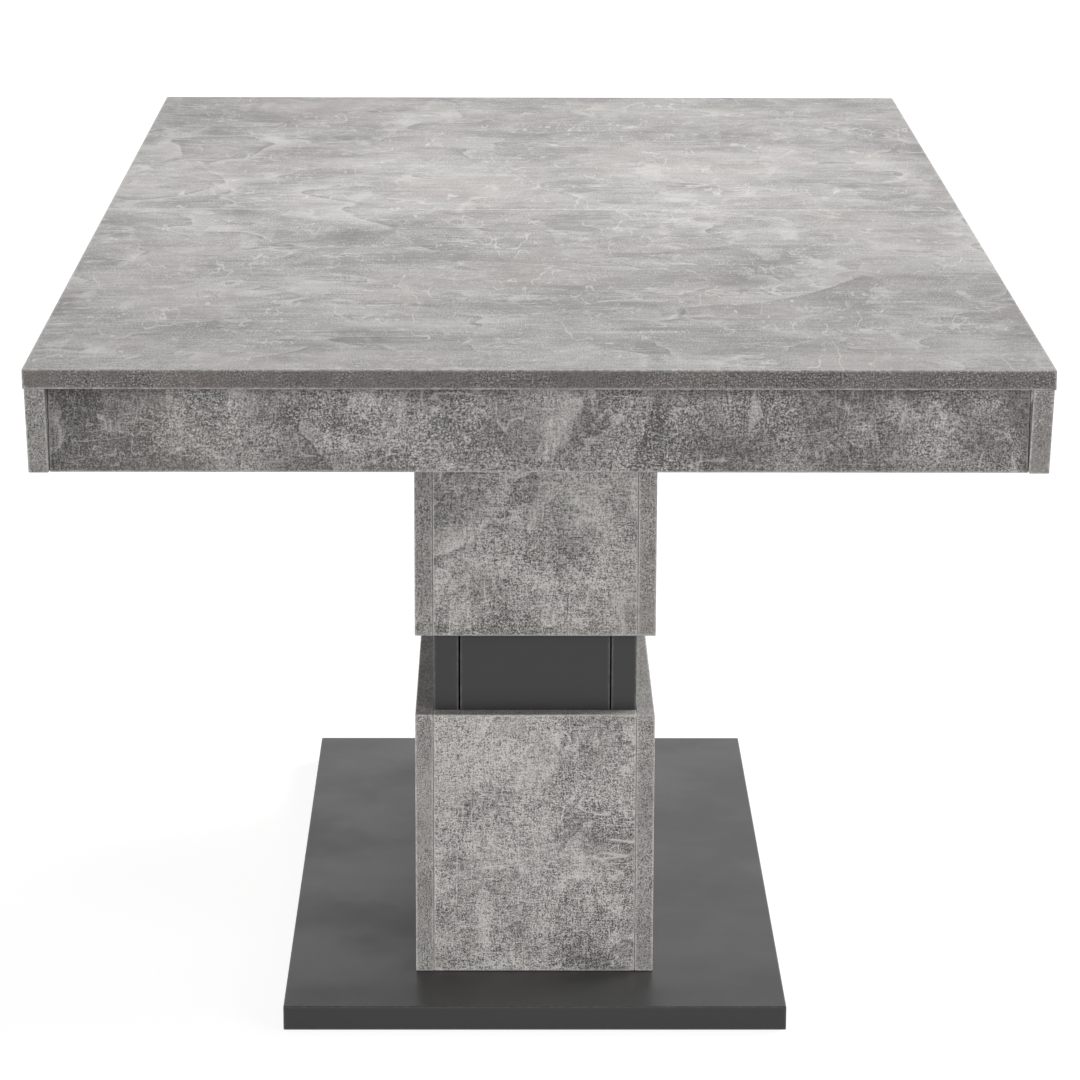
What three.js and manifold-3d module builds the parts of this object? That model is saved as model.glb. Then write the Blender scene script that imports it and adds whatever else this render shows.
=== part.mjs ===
// Extendable dining table on a central box column, drawn closed. Millimetres, +Z up.
// The origin is on the floor under the middle of the column. X runs across the table and Y along it,
// so the front half slides towards -Y and the rear half towards +Y.
import * as THREE from 'three';
import { mergeVertices } from 'three/addons/utils/BufferGeometryUtils.js';
import Module from 'manifold-3d';

const wasm = await Module();
wasm.setup();

// ---------------------------------------------------------------- driving dimensions
const GAP = 0.3; // air between two pieces that touch
const BOARD = 18; // thickness of the table's boards
const TOP = { length: 1600, width: 900, height: 750, seam: 0.5 };
const APRON = { depth: 80, inset: 1, setback: 3, rake: 19 };
const END_PANEL = { setback: 25 };
const BASE = { length: 900, width: 500, thickness: 25, clearance: 3 };
const GLIDER = { radius: 16, edge: 40 };
const COLUMN = { width: 240, length: 700, lowerTop: 300, upperFoot: 382, top: 654 };
const CORE = { wall: 25, groove: 1.5, setback: 1 };
const HEAD = { width: 600, length: 900 };
const BOLT = { radius: 4, headRadius: 10, headHeight: 4, reach: 45, spacing: 500, fit: 0.3, recess: 5 };
const RAIL = { inner: 240, width: 22, wall: 3, length: 1120, drop: 1 };
const RUNNER = { bodyWidth: 25, play: 0.8, side: 1, seamEnd: 8, panelGap: 5 };
const GEAR = { module: 3, teeth: 12, pressure: THREE.MathUtils.degToRad(20), tooth: 4, tip: 2.4, root: 3.3 };
const PINION = { height: 5, pinRadius: 4, pinHead: 6, pinHeadHeight: 1.6, pinDepth: 10 };
const RACK = { back: 30, thickness: 5.5, firstGap: -2, lastGap: 23, blank: 10 };
const RACK_FOOT = { setback: 300, plate: 4, flange: 34 };
const LEAF = { length: 400, width: 450, supportHeight: 7.5, supportWidth: 20, supportAt: 150 };
const HINGE = { at: 130, length: 40, plate: 40, thick: 1.2, knuckle: 3, pin: 1.4, knuckles: 3 };
const PIN = { radius: 4, length: 24, spacing: 300 };
const BLOCK = { leg: 40, margin: 4 };
const ROUND = 24; // sides of a small round piece

const FINISHES = {
  concrete: { color: 0xa5a4a1, roughness: 0.6, metalness: 0 },
  graphite: { color: 0x4c4d4f, roughness: 0.6, metalness: 0 },
  carcass: { color: 0xd8d6d0, roughness: 0.55, metalness: 0 },
  beech: { color: 0xc9a273, roughness: 0.6, metalness: 0 },
  steel: { color: 0xa9abad, roughness: 0.35, metalness: 1 },
  zinc: { color: 0xc3c6c8, roughness: 0.3, metalness: 1 },
  nylon: { color: 0x232426, roughness: 0.5, metalness: 0 },
};

// ---------------------------------------------------------------- levels and lines worked out from them
const baseTop = BASE.clearance + BASE.thickness;
const slabFoot = TOP.height - BOARD;
const apronFoot = slabFoot - APRON.depth;
const headFoot = COLUMN.top + GAP;
const headTop = headFoot + BOARD;
const deckFoot = headTop + GAP;
const halfLength = TOP.length / 2;
const apronOuter = TOP.width / 2 - APRON.inset;
const apronInner = apronOuter - BOARD;
const panelOuter = halfLength - END_PANEL.setback;
const panelInner = panelOuter - BOARD;
const seamEdge = TOP.seam / 2;
const coreOuter = COLUMN.width / 2 - BOARD - GAP;
const coreInner = coreOuter - CORE.wall;
const coreFront = COLUMN.length / 2 - BOARD - GAP;
const boltLine = coreOuter - CORE.wall / 2;
const pitchRadius = (GEAR.module * GEAR.teeth) / 2;
const pitch = Math.PI * GEAR.module;
const leafFoot = deckFoot + LEAF.supportHeight + GAP;
const pinLevel = TOP.height - BOARD / 2;

// ---------------------------------------------------------------- shaping helpers

// A mesh with a material of its own.
function piece(name, geometry, finish) {
  const mesh = new THREE.Mesh(geometry, new THREE.MeshStandardMaterial(FINISHES[finish]));
  mesh.name = name;
  return mesh;
}

// The closed solid of a geometry, ready to join or cut.
function solidOf(geometry) {
  const bare = geometry.clone();
  bare.deleteAttribute('normal');
  bare.deleteAttribute('uv');
  const merged = mergeVertices(bare, 1e-4);
  return new wasm.Manifold(new wasm.Mesh({
    numProp: 3,
    vertProperties: Float32Array.from(merged.attributes.position.array),
    triVerts: Uint32Array.from(merged.index.array),
  }));
}

// The geometry of a solid.
function geometryOf(solid) {
  const mesh = solid.getMesh();
  const geometry = new THREE.BufferGeometry();
  geometry.setAttribute('position', new THREE.BufferAttribute(mesh.vertProperties, mesh.numProp));
  geometry.setIndex(new THREE.BufferAttribute(mesh.triVerts, 1));
  geometry.computeVertexNormals();
  return geometry;
}

function joined(first, ...others) {
  return geometryOf(others.reduce((whole, next) => whole.add(solidOf(next)), solidOf(first)));
}

function cut(first, ...tools) {
  return geometryOf(tools.reduce((whole, tool) => whole.subtract(solidOf(tool)), solidOf(first)));
}

// A box between two values on each axis.
function block(x, y, z) {
  const box = new THREE.BoxGeometry(x[1] - x[0], y[1] - y[0], z[1] - z[0]);
  return box.translate((x[0] + x[1]) / 2, (y[0] + y[1]) / 2, (z[0] + z[1]) / 2);
}

// An upright round bar between two heights.
function upright(radius, at, z) {
  const bar = new THREE.CylinderGeometry(radius, radius, z[1] - z[0], ROUND);
  return bar.rotateX(Math.PI / 2).translate(at[0], at[1], (z[0] + z[1]) / 2);
}

// A round bar along Y.
function lengthwise(radius, at, y) {
  const bar = new THREE.CylinderGeometry(radius, radius, y[1] - y[0], ROUND);
  return bar.translate(at[0], (y[0] + y[1]) / 2, at[1]);
}

// A board between two values on each axis, placed by its middle, with any cuts taken out of it.
function board(name, finish, x, y, z, cuts = []) {
  const middle = [x, y, z].map(([low, high]) => (low + high) / 2);
  const whole = block(x, y, z);
  const shaped = cuts.length > 0 ? cut(whole, ...cuts) : whole;
  const mesh = piece(name, shaped.translate(-middle[0], -middle[1], -middle[2]), finish);
  mesh.position.set(...middle);
  return mesh;
}

// A closed outline through points.
function outline(points) {
  return new THREE.Shape(points.map(([u, v]) => new THREE.Vector2(u, v)));
}

// A section in X and Z, drawn out along Y between two values.
function alongY(shape, y) {
  const bar = new THREE.ExtrudeGeometry(shape, { depth: y[1] - y[0], bevelEnabled: false });
  return bar.rotateX(Math.PI / 2).translate(0, y[1], 0);
}

// A section in Y and Z, drawn out along X between two values.
function alongX(shape, x) {
  const bar = new THREE.ExtrudeGeometry(shape, { depth: x[1] - x[0], bevelEnabled: false });
  const axes = [new THREE.Vector3(0, 1, 0), new THREE.Vector3(0, 0, 1), new THREE.Vector3(1, 0, 0)];
  return bar.applyMatrix4(new THREE.Matrix4().makeBasis(...axes)).translate(x[0], 0, 0);
}

// A section in X and Y, drawn up between two heights.
function alongZ(shape, z) {
  return new THREE.ExtrudeGeometry(shape, { depth: z[1] - z[0], bevelEnabled: false }).translate(0, 0, z[0]);
}

// The span between two distances from the middle, on the side that the sign names.
function onSide(sign, near, far) {
  return sign < 0 ? [-far, -near] : [near, far];
}

const SIDES = [['left', -1], ['right', 1]];
const ENDS = [['front', -1], ['rear', 1]];
const PIN_PLACES = [['left', -PIN.spacing], ['middle', 0], ['right', PIN.spacing]];
const CORNERS = ENDS.flatMap(([end, ySign]) => (
  SIDES.map(([side, xSign]) => [`${end}_${side}`, xSign, ySign])
));

// ---------------------------------------------------------------- base
function boltPlaces() {
  return CORNERS.map(([corner, xSign, ySign]) => [corner, xSign * boltLine, (ySign * BOLT.spacing) / 2]);
}

// A bolt with a flat round head, head down, its head's face at z = 0 and its shank upwards.
function boltGeometry(grip) {
  const top = BOLT.headHeight + grip + BOLT.reach;
  const profile = [
    [0, 0], [BOLT.headRadius, 0], [BOLT.headRadius, BOLT.headHeight], [BOLT.radius, BOLT.headHeight],
    [BOLT.radius, top - 1], [BOLT.radius - 1, top], [0, top],
  ];
  const turned = new THREE.LatheGeometry(profile.map(([r, z]) => new THREE.Vector2(r, z)), ROUND);
  return turned.rotateX(Math.PI / 2);
}

// The recess and the hole that a bolt from below takes out of a board of the given foot and top.
function boltCuts([, x, y], foot, top) {
  const recess = upright(BOLT.headRadius + 1, [x, y], [foot - 1, foot + BOLT.recess]);
  return [recess, upright(BOLT.radius + BOLT.fit, [x, y], [foot - 1, top + 1])];
}

function base() {
  const group = new THREE.Group();
  const across = [-BASE.width / 2, BASE.width / 2];
  const along = [-BASE.length / 2, BASE.length / 2];
  const cuts = boltPlaces().flatMap((place) => boltCuts(place, BASE.clearance, baseTop));
  group.add(board('base_plate', 'graphite', across, along, [BASE.clearance, baseTop], cuts));
  for (const [corner, xSign, ySign] of CORNERS) {
    const disc = upright(GLIDER.radius, [0, 0], [0, BASE.clearance - GAP]);
    const glider = piece(`glider_${corner}`, disc, 'nylon');
    glider.position.x = xSign * (BASE.width / 2 - GLIDER.edge);
    glider.position.y = ySign * (BASE.length / 2 - GLIDER.edge);
    group.add(glider);
  }
  for (const [corner, x, y] of boltPlaces()) {
    const grip = BASE.thickness - BOLT.recess;
    const bolt = piece(`base_bolt_${corner}`, boltGeometry(grip), 'zinc');
    bolt.position.set(x, y, BASE.clearance + BOLT.recess - BOLT.headHeight - GAP);
    group.add(bolt);
  }
  return group;
}

// ---------------------------------------------------------------- column

// Two side boards with the front and rear boards set between them.
function columnBlock(level, z) {
  const group = new THREE.Group();
  const halfWidth = COLUMN.width / 2;
  const end = COLUMN.length / 2;
  for (const [side, sign] of SIDES) {
    const across = onSide(sign, halfWidth - BOARD, halfWidth);
    group.add(board(`${level}_block_${side}`, 'concrete', across, [-end, end], z));
  }
  const between = halfWidth - BOARD - GAP;
  for (const [face, sign] of ENDS) {
    const along = onSide(sign, end - BOARD, end);
    group.add(board(`${level}_block_${face}`, 'concrete', [-between, between], along, z));
  }
  return group;
}

// The full-height core that the two blocks are fixed around: thick side walls and narrower panels between.
function core() {
  const group = new THREE.Group();
  const z = [baseTop + GAP, COLUMN.top];
  const depth = BOLT.reach + 1;
  for (const [side, sign] of SIDES) {
    const bores = boltPlaces().filter(([, x]) => x * sign > 0).flatMap(([, x, y]) => [
      upright(BOLT.radius + BOLT.fit, [x, y], [z[0] - 1, z[0] + depth]),
      upright(BOLT.radius + BOLT.fit, [x, y], [z[1] - depth, z[1] + 1]),
    ]);
    const across = onSide(sign, coreInner, coreOuter);
    group.add(board(`core_wall_${side}`, 'graphite', across, [-coreFront, coreFront], z, bores));
  }
  const reach = coreInner - CORE.groove;
  for (const [face, sign] of ENDS) {
    const along = onSide(sign, coreFront - CORE.setback - BOARD, coreFront - CORE.setback);
    group.add(board(`core_panel_${face}`, 'graphite', [-reach, reach], along, z));
  }
  return group;
}

// ---------------------------------------------------------------- head plate, rails and equalizer pinion
function head() {
  const group = new THREE.Group();
  const across = [-HEAD.width / 2, HEAD.width / 2];
  const along = [-HEAD.length / 2, HEAD.length / 2];
  const bores = boltPlaces().flatMap(([, x, y]) => [
    upright(BOLT.headRadius + 1, [x, y], [headTop - BOLT.recess, headTop + 1]),
    upright(BOLT.radius + BOLT.fit, [x, y], [headFoot - 1, headTop + 1]),
  ]);
  const pinBore = upright(PINION.pinRadius + GAP, [0, 0], [headTop - PINION.pinDepth - GAP, headTop + 1]);
  group.add(board('head_plate', 'carcass', across, along, [headFoot, headTop], [...bores, pinBore]));
  for (const [corner, x, y] of boltPlaces()) {
    const bolt = piece(`head_bolt_${corner}`, boltGeometry(BOARD - BOLT.recess), 'zinc');
    bolt.rotation.x = Math.PI;
    bolt.position.set(x, y, headTop - BOLT.recess + BOLT.headHeight + GAP);
    group.add(bolt);
  }
  return group;
}

// The section of a guide rail on the side of the sign: a channel that opens away from the table's middle.
function railSection(sign) {
  const near = RAIL.inner;
  const far = near + RAIL.width;
  const foot = deckFoot;
  const top = slabFoot - RAIL.drop;
  const wall = RAIL.wall;
  return outline([
    [near, foot], [far, foot], [far, foot + wall], [near + wall, foot + wall],
    [near + wall, top - wall], [far, top - wall], [far, top], [near, top],
  ].map(([x, z]) => [sign * x, z]));
}

function rails() {
  const group = new THREE.Group();
  for (const [side, sign] of SIDES) {
    const geometry = alongY(railSection(sign), [-RAIL.length / 2, RAIL.length / 2]);
    group.add(piece(`guide_rail_${side}`, geometry, 'steel'));
  }
  return group;
}

// How thick an involute tooth is at a radius, as half the angle that it fills.
function halfToothAngle(radius) {
  const baseRadius = pitchRadius * Math.cos(GEAR.pressure);
  const involute = (r) => {
    const angle = Math.acos(Math.min(1, baseRadius / r));
    return Math.tan(angle) - angle;
  };
  return GEAR.tooth / 2 / pitchRadius + involute(pitchRadius) - involute(Math.max(radius, baseRadius));
}

function pinionShape() {
  const root = pitchRadius - GEAR.root;
  const tip = pitchRadius + GEAR.tip;
  const steps = 4;
  const radii = Array.from({ length: steps + 1 }, (_, i) => root + ((tip - root) * i) / steps);
  const points = [];
  for (let tooth = 0; tooth < GEAR.teeth; tooth += 1) {
    const middle = (2 * Math.PI * tooth) / GEAR.teeth;
    const flank = (radius, sign) => {
      const angle = middle + sign * halfToothAngle(radius);
      return [radius * Math.cos(angle), radius * Math.sin(angle)];
    };
    points.push(...radii.map((radius) => flank(radius, -1)));
    points.push(...radii.toReversed().map((radius) => flank(radius, 1)));
  }
  const shape = outline(points);
  shape.holes.push(new THREE.Path().absarc(0, 0, PINION.pinRadius + GAP, 0, 2 * Math.PI, true));
  return shape;
}

function equalizerPinion() {
  const group = new THREE.Group();
  const pinion = piece('pinion', alongZ(pinionShape(), [0, PINION.height]), 'nylon');
  pinion.position.z = deckFoot;
  const shank = upright(PINION.pinRadius, [0, 0], [headTop - PINION.pinDepth, deckFoot + PINION.height + 1]);
  const headAt = deckFoot + PINION.height + GAP;
  const cap = upright(PINION.pinHead, [0, 0], [headAt, headAt + PINION.pinHeadHeight]);
  group.add(pinion, piece('pinion_pin', joined(shank, cap), 'zinc'));
  return group;
}

// ---------------------------------------------------------------- centre leaf, folded away on the head plate
function hingeMiddles() {
  return ENDS.map(([end, sign]) => [end, sign * HINGE.at]);
}

// A hinge plate, let into one panel, with the knuckles that are its own.
function hingePlate(middleY, foldLevel, isUpper) {
  const axis = [LEAF.width / 2 + HINGE.knuckle + GAP, foldLevel];
  const flat = GAP / 2 + GAP;
  const z = isUpper
    ? [foldLevel + flat, foldLevel + flat + HINGE.thick]
    : [foldLevel - flat - HINGE.thick, foldLevel - flat];
  const start = middleY - HINGE.length / 2;
  const step = HINGE.length / HINGE.knuckles;
  const slots = Array.from({ length: HINGE.knuckles }, (_, i) => [start + i * step, start + (i + 1) * step]);
  const own = slots.filter((_, i) => (i % 2 === 1) === isUpper);
  const others = slots.filter((_, i) => (i % 2 === 1) !== isUpper);
  const knuckle = (span) => lengthwise(HINGE.knuckle, axis, [span[0] + GAP, span[1] - GAP]);
  const clear = (span) => lengthwise(HINGE.knuckle + GAP, axis, [span[0] - GAP, span[1] + GAP]);
  const plate = block([LEAF.width / 2 - HINGE.plate, axis[0]], [start + GAP, start + HINGE.length - GAP], z);
  const body = joined(cut(plate, ...others.map(clear)), ...own.map(knuckle));
  const pinSpan = [start + 1, start + HINGE.length - 1];
  return isUpper
    ? joined(body, lengthwise(HINGE.pin, axis, pinSpan))
    : cut(body, lengthwise(HINGE.pin + GAP, axis, [start - 1, start + HINGE.length + 1]));
}

function leaf() {
  const group = new THREE.Group();
  const across = [-LEAF.width / 2, LEAF.width / 2];
  const along = [-LEAF.length / 2, LEAF.length / 2];
  const lowerTop = leafFoot + BOARD;
  const upperFoot = lowerTop + GAP;
  const fold = (lowerTop + upperFoot) / 2;
  const pocketDepth = HINGE.thick + 2 * GAP;
  const pockets = hingeMiddles().map(([, y]) => {
    const x = [LEAF.width / 2 - HINGE.plate - GAP, LEAF.width / 2 + 1];
    const z = [lowerTop - pocketDepth, upperFoot + pocketDepth];
    return block(x, [y - HINGE.length / 2, y + HINGE.length / 2], z);
  });
  group.add(board('leaf_panel_lower', 'concrete', across, along, [leafFoot, lowerTop], pockets));
  group.add(board('leaf_panel_upper', 'concrete', across, along, [upperFoot, upperFoot + BOARD], pockets));
  for (const [end, y] of hingeMiddles()) {
    group.add(piece(`leaf_hinge_lower_${end}`, hingePlate(y, fold, false), 'zinc'));
    group.add(piece(`leaf_hinge_upper_${end}`, hingePlate(y, fold, true), 'zinc'));
  }
  for (const [side, sign] of SIDES) {
    const x = onSide(sign, LEAF.supportAt - LEAF.supportWidth / 2, LEAF.supportAt + LEAF.supportWidth / 2);
    const z = [deckFoot, deckFoot + LEAF.supportHeight];
    group.add(board(`leaf_support_${side}`, 'beech', x, along, z));
  }
  return group;
}

// ---------------------------------------------------------------- one half of the top

// An apron with a raked end: its top corner nearly reaches the slab's end and its foot stands further back.
function apron(name, sign) {
  const top = slabFoot - GAP;
  const shape = outline([
    [-halfLength + APRON.setback, top],
    [-halfLength + APRON.setback + APRON.rake, apronFoot],
    [-seamEdge, apronFoot],
    [-seamEdge, top],
  ]);
  return piece(name, alongX(shape, onSide(sign, apronInner, apronOuter)), 'concrete');
}

// A batten screwed under the slab, with a tongue that rides in the guide rail.
function runner(name, sign) {
  const foot = deckFoot + RAIL.wall + RUNNER.play;
  const tongueTop = slabFoot - RAIL.drop - RAIL.wall - RUNNER.play;
  const tongueTip = RAIL.inner + RAIL.wall + RUNNER.side;
  const body = RAIL.inner + RAIL.width + RUNNER.side;
  const far = body + RUNNER.bodyWidth;
  const section = outline([
    [tongueTip, foot], [far, foot], [far, slabFoot - GAP], [body, slabFoot - GAP],
    [body, tongueTop], [tongueTip, tongueTop],
  ].map(([x, z]) => [sign * x, z]));
  return piece(name, alongY(section, [-panelInner + RUNNER.panelGap, -RUNNER.seamEnd]), 'beech');
}

// The toothed bar that the pinion meets on its +X side, with a foot that rises to the slab.
function rackGeometry() {
  const slope = Math.tan(GEAR.pressure);
  const tipX = pitchRadius - GEAR.tip;
  const rootX = pitchRadius + GEAR.root;
  const gapAtTip = (pitch - GEAR.tooth) / 2 + GEAR.tip * slope;
  const gapAtRoot = (pitch - GEAR.tooth) / 2 - GEAR.root * slope;
  const teeth = [];
  for (let index = RACK.lastGap; index >= RACK.firstGap; index -= 1) {
    const y = index * pitch;
    teeth.push([tipX, y + gapAtTip], [rootX, y + gapAtRoot], [rootX, y - gapAtRoot], [tipX, y - gapAtTip]);
  }
  const end = RACK.lastGap * pitch + pitch / 2 + RACK.blank;
  const start = -RACK_FOOT.setback;
  const bar = outline([[RACK.back, start], [RACK.back, end], [tipX, end], ...teeth, [tipX, start]]);
  const top = slabFoot - GAP;
  const x = [RACK.back - RACK_FOOT.flange / 2, RACK.back + RACK_FOOT.flange / 2];
  const foot = block(x, [start - RACK_FOOT.plate, start], [deckFoot, top]);
  const flange = block(x, [start - RACK_FOOT.flange, start], [top - RACK_FOOT.plate, top]);
  return joined(alongZ(bar, [deckFoot, deckFoot + RACK.thickness]), foot, flange);
}

// Everything that slides with one half, drawn as the front half; the rear half is the same, turned about.
function topHalf(end) {
  const group = new THREE.Group();
  const isRear = end === 'rear';
  group.rotation.z = isRear ? Math.PI : 0;
  const handOf = (sign) => ((sign < 0) === isRear ? 'right' : 'left');
  const socketSpan = [-PIN.length / 2 - 1, 1];
  const sockets = PIN_PLACES.map(([, x]) => lengthwise(PIN.radius + GAP, [x, pinLevel], socketSpan));
  const across = [-TOP.width / 2, TOP.width / 2];
  const along = [-halfLength, -seamEdge];
  group.add(board(`top_slab_${end}`, 'concrete', across, along, [slabFoot, TOP.height], sockets));
  const between = apronInner - GAP;
  const panelZ = [apronFoot, slabFoot - GAP];
  group.add(board(`end_panel_${end}`, 'concrete', [-between, between], [-panelOuter, -panelInner], panelZ));
  for (const [, sign] of SIDES) {
    const hand = handOf(sign);
    group.add(apron(`apron_${end}_${hand}`, sign), runner(`runner_${end}_${hand}`, sign));
    const [x, y] = [sign * (apronInner - GAP), -panelInner + GAP];
    const triangle = outline([[x, y], [x - sign * BLOCK.leg, y], [x, y + BLOCK.leg]]);
    const height = [apronFoot + BLOCK.margin, slabFoot - GAP];
    group.add(piece(`corner_block_${end}_${hand}`, alongZ(triangle, height), 'beech'));
  }
  group.add(piece(`rack_${end}`, rackGeometry(), 'steel'));
  return group;
}

// The pins in the front half's seam edge, which enter the rear half's sockets.
function alignmentPins() {
  const group = new THREE.Group();
  for (const [place, x] of PIN_PLACES) {
    const bar = lengthwise(PIN.radius, [0, 0], [-PIN.length / 2, PIN.length / 2]);
    const pin = piece(`seam_pin_${place}`, bar, 'beech');
    pin.position.set(x, 0, pinLevel);
    group.add(pin);
  }
  return group;
}

// ---------------------------------------------------------------- the table
const table = new THREE.Group();
table.add(base());
table.add(columnBlock('lower', [baseTop + GAP, COLUMN.lowerTop]));
table.add(core());
table.add(columnBlock('upper', [COLUMN.upperFoot, COLUMN.top]));
table.add(head(), rails(), equalizerPinion(), leaf());
table.add(topHalf('front'), topHalf('rear'), alignmentPins());

export default table;
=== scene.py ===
"""Looks of an extendable dining table: concrete-look boards and a graphite core on a graphite base.

Every length is in metres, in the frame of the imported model: X across the table, Y along it, Z up.
The visible boards are rebuilt with rounded arrises and edge bands, and the hidden fittings keep their
own shape and get a finish.
"""

import logging
import math
from dataclasses import dataclass, field
from enum import Enum

import bpy
import numpy as np
from mathutils import Matrix, Vector


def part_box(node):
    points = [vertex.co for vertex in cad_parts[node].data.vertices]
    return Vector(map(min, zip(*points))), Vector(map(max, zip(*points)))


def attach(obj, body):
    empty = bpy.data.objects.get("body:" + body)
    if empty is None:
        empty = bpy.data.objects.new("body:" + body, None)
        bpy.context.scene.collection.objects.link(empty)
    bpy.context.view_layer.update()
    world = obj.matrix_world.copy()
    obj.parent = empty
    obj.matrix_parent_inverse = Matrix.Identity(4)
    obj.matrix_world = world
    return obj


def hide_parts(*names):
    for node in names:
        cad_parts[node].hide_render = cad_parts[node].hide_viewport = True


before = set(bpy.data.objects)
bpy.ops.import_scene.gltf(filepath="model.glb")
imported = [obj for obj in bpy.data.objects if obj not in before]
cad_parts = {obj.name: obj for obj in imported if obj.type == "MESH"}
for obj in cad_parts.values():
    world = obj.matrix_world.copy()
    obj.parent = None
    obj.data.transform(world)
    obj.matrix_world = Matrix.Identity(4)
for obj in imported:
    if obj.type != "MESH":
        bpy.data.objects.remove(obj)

Colour = tuple[float, float, float]
Place = tuple[float, float, float]

log = logging.getLogger("table")
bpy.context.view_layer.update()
WELD = 1e-6
ARC_STEPS = 3
HOLE_SIDES = 32
BEVEL_STEPS = 2
BEVEL_ANGLE = math.radians(35)
FLOOR_LINES = 3
NODE_STEP = 180


class Axis(Enum):
    """The row axis that a board is thin along."""

    X = 0
    Y = 1
    Z = 2


class End(Enum):
    """An end of a board along Y, by the sign of its direction."""

    NONE = 0
    LOW = -1
    HIGH = 1


class Tone(Enum):
    """Which of a board's materials a stretch of it takes."""

    FACE = 0
    BAND = 1
    RAW = 2


# ---- meshes


class Shell:
    """A closed mesh gathered from patches, which are welded where their borders meet."""

    def __init__(self) -> None:
        """Starts with no patch."""
        self.points: list[np.ndarray] = []
        self.normals: list[np.ndarray] = []
        self.rims: list[np.ndarray] = []
        self.faces: list[np.ndarray] = []
        self.tones: list[np.ndarray] = []
        self.count = 0

    def add(self, points: np.ndarray, normals: np.ndarray, faces: np.ndarray, tones: np.ndarray | int,
            rim: np.ndarray | float = 0.0) -> None:
        """Adds a patch.

        Args:
            points: corner places, one row each.
            normals: the surface's direction at each corner.
            faces: rows of corner numbers, counted within the patch.
            tones: the Tone value of each face, or of all of them.
            rim: how close each corner is to an arris, from 0 to 1.
        """
        self.points.append(points.reshape(-1, 3))
        self.normals.append(normals.reshape(-1, 3))
        self.rims.append(np.broadcast_to(rim, points.shape[:-1]).reshape(-1))
        self.faces.append(faces + self.count)
        self.tones.append(np.broadcast_to(tones, len(faces)))
        self.count += points.size // 3

    def build(self, name: str, materials: list[bpy.types.Material]) -> bpy.types.Object:
        """Makes the object, with the exact surface directions kept as its corner normals.

        Args:
            name: the piece's name.
            materials: one material for each Tone value in use.

        Returns:
            The new object, at the origin.
        """
        points = np.concatenate(self.points)
        normals = np.concatenate(self.normals)
        keys = np.round(points / WELD).astype(np.int64)
        _, first, welded = np.unique(keys, axis=0, return_index=True, return_inverse=True)
        welded = welded.reshape(-1)
        faces = [row for patch in self.faces for row in welded[patch].tolist()]
        mesh = bpy.data.meshes.new(name)
        mesh.from_pydata(points[first], [], faces)
        mesh.polygons.foreach_set("material_index", np.concatenate(self.tones).astype(np.int32))
        mesh.polygons.foreach_set("use_smooth", np.ones(len(faces), bool))
        for label, values in (("rim", np.concatenate(self.rims)), ("arris", arris_share(normals))):
            attribute = mesh.attributes.new(label, "FLOAT", "POINT")
            attribute.data.foreach_set("value", values[first].astype(np.float32))
        mesh.normals_split_custom_set(np.concatenate([normals[patch].reshape(-1, 3) for patch in self.faces]))
        for material in materials:
            mesh.materials.append(material)
        mesh.update()
        return in_scene(name, mesh)


def in_scene(name: str, data: bpy.types.ID) -> bpy.types.Object:
    """Makes an object of a mesh, a light or a camera, and puts it in the scene.

    Args:
        name: the object's name.
        data: what it shows.

    Returns:
        The new object, at the origin.
    """
    made = bpy.data.objects.new(name, data)
    bpy.context.scene.collection.objects.link(made)
    return made


def arris_share(normals: np.ndarray) -> np.ndarray:
    """Says how far a surface direction has turned away from the nearest axis: 0 on a flat, 1 at 45 degrees.

    Args:
        normals: unit directions, one row each.

    Returns:
        One value for each row.
    """
    return np.clip((1 - np.abs(normals).max(-1)) / (1 - math.sqrt(0.5)), 0, 1)


def grid_quads(rows: int, columns: int, flip: bool) -> np.ndarray:
    """Numbers the quads of a grid of points.

    Args:
        rows: points along the first direction.
        columns: points along the second direction.
        flip: True turns every quad over.

    Returns:
        Rows of four corner numbers.
    """
    index = np.arange(rows * columns).reshape(rows, columns)
    quads = np.stack([index[:-1, :-1], index[1:, :-1], index[1:, 1:], index[:-1, 1:]], -1).reshape(-1, 4)
    return quads[:, ::-1] if flip else quads


@dataclass(frozen=True)
class Drilling:
    """A blind hole in a board's end: its place across the end, its radius, its depth, and the margin
    between the hole and the sides of the cell that is cut out for it."""

    across: float
    radius: float
    depth: float
    margin: float = 0.0009


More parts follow.
